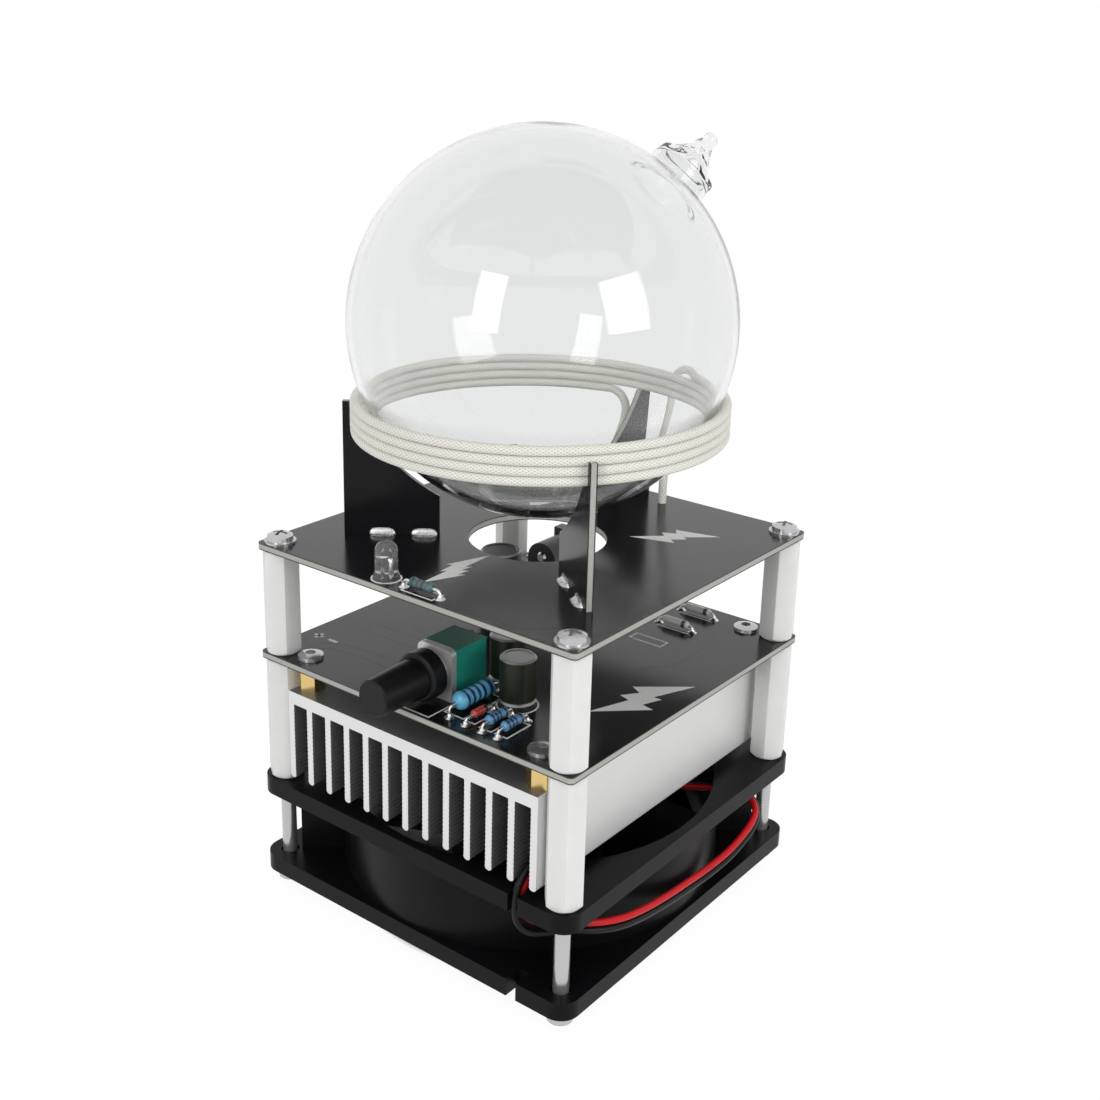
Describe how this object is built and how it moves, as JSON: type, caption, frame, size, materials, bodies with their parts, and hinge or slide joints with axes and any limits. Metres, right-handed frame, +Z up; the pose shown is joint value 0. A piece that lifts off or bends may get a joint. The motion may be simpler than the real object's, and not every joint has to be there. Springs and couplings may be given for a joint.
{
  "type": "plasma ring lamp",
  "caption": "Clear sealed globe in a braided coil on upright fins, over two stacked boards with a control knob, a heatsink and a square fan: a high-voltage plasma demonstration lamp.",
  "frame": {"origin": "on the fan's axis, level with the undersides of the corner screw heads that the lamp stands on", "axes": "+Z up through the globe; -Y towards the control knob; +Y towards the power inlet; +X to the right when the knob faces the viewer"},
  "size_m": [0.0938, 0.1057, 0.1793],
  "materials": {
    "fan_black": "satin moulded",
    "impeller_black": "satin moulded",
    "magnet": "dull",
    "shaft_steel": "ground",
    "bearing_bronze": "sintered",
    "stator_steel": "stacked sheets",
    "copper_winding": "enamelled wire",
    "driver_board_green": "glossy",
    "lead_red": "smooth",
    "lead_black": "smooth",
    "connector_cream": "moulded",
    "screw_steel": "plated",
    "nylon_white": "satin",
    "heatsink_aluminium": "extruded",
    "spacer_brass": "turned",
    "transistor_black": "moulded",
    "pad_grey": "matte",
    "board_black": "glossy mask",
    "control_green": "moulded",
    "control_plate": "pressed",
    "control_shaft": "moulded",
    "knob_black": "satin",
    "large_resistor_blue": "lacquered, banded",
    "small_resistor_blue": "lacquered, banded",
    "diode_red": "glass body, banded",
    "diode_pale": "glass body, banded",
    "capacitor_sleeve": "shrink sleeve, bare top",
    "inlet_black": "moulded",
    "inlet_pin": "plated",
    "solder": "bright",
    "indicator_clear": "clear, domed",
    "coil_braid": "braided sleeve",
    "globe_glass": "clear, thin"
  },
  "bodies": {
    "chassis": {"fan_frame": "fan_black", "fan_motor_mount": "fan_black", "fan_bearing": "bearing_bronze", "fan_stator_core": "stator_steel", "fan_stator_coils": "copper_winding", "fan_driver_board": "driver_board_green", "fan_lead_red": "lead_red", "fan_lead_black": "lead_black", "fan_plug": "connector_cream", "fan_header": "connector_cream", "fan_screws": "screw_steel", "spacer_screws": "screw_steel", "transistor_screws": "screw_steel", "upper_screws": "screw_steel", "upper_washers": "screw_steel", "lower_post_front_left": "nylon_white", "lower_post_front_right": "nylon_white", "lower_post_back_right": "nylon_white", "lower_post_back_left": "nylon_white", "upper_post_front_left": "nylon_white", "upper_post_front_right": "nylon_white", "upper_post_back_right": "nylon_white", "upper_post_back_left": "nylon_white", "heatsink": "heatsink_aluminium", "brass_spacers": "spacer_brass", "transistor_left": "transistor_black", "transistor_right": "transistor_black", "insulating_pad_left": "pad_grey", "insulating_pad_right": "pad_grey", "lower_board": "board_black", "upper_board": "board_black", "fin_left": "board_black", "fin_right": "board_black", "fin_back": "board_black", "potentiometer_body": "control_green", "potentiometer_plate": "control_plate", "large_resistor": "large_resistor_blue", "small_resistor_left": "small_resistor_blue", "small_resistor_right": "small_resistor_blue", "indicator_resistor": "small_resistor_blue", "red_diode": "diode_red", "pale_diode_front": "diode_pale", "pale_diode_back": "diode_pale", "capacitor_front": "capacitor_sleeve", "capacitor_middle": "capacitor_sleeve", "capacitor_large": "capacitor_sleeve", "power_inlet": "inlet_black", "power_inlet_pin": "inlet_pin", "fin_solder": "solder", "indicator_lamp": "indicator_clear", "coil": "coil_braid", "globe": "globe_glass"},
    "impeller": {"fan_impeller": "impeller_black", "fan_magnet": "magnet", "fan_shaft": "shaft_steel", "fan_shaft_clip": "shaft_steel"},
    "control_knob": {"potentiometer_shaft": "control_shaft", "knob": "knob_black"}
  },
  "joints": [
    {"name": "fan_spin", "type": "hinge", "parent": "chassis", "child": "impeller", "pos_m": [0, 0, 0.0125], "axis": [0, 0, 1], "continuous": true},
    {"name": "knob_turn", "type": "hinge", "parent": "chassis", "child": "control_knob", "pos_m": [0.001, -0.04, 0.0661], "axis": [0, -1, 0], "range_deg": [-150, 150]}
  ]
}
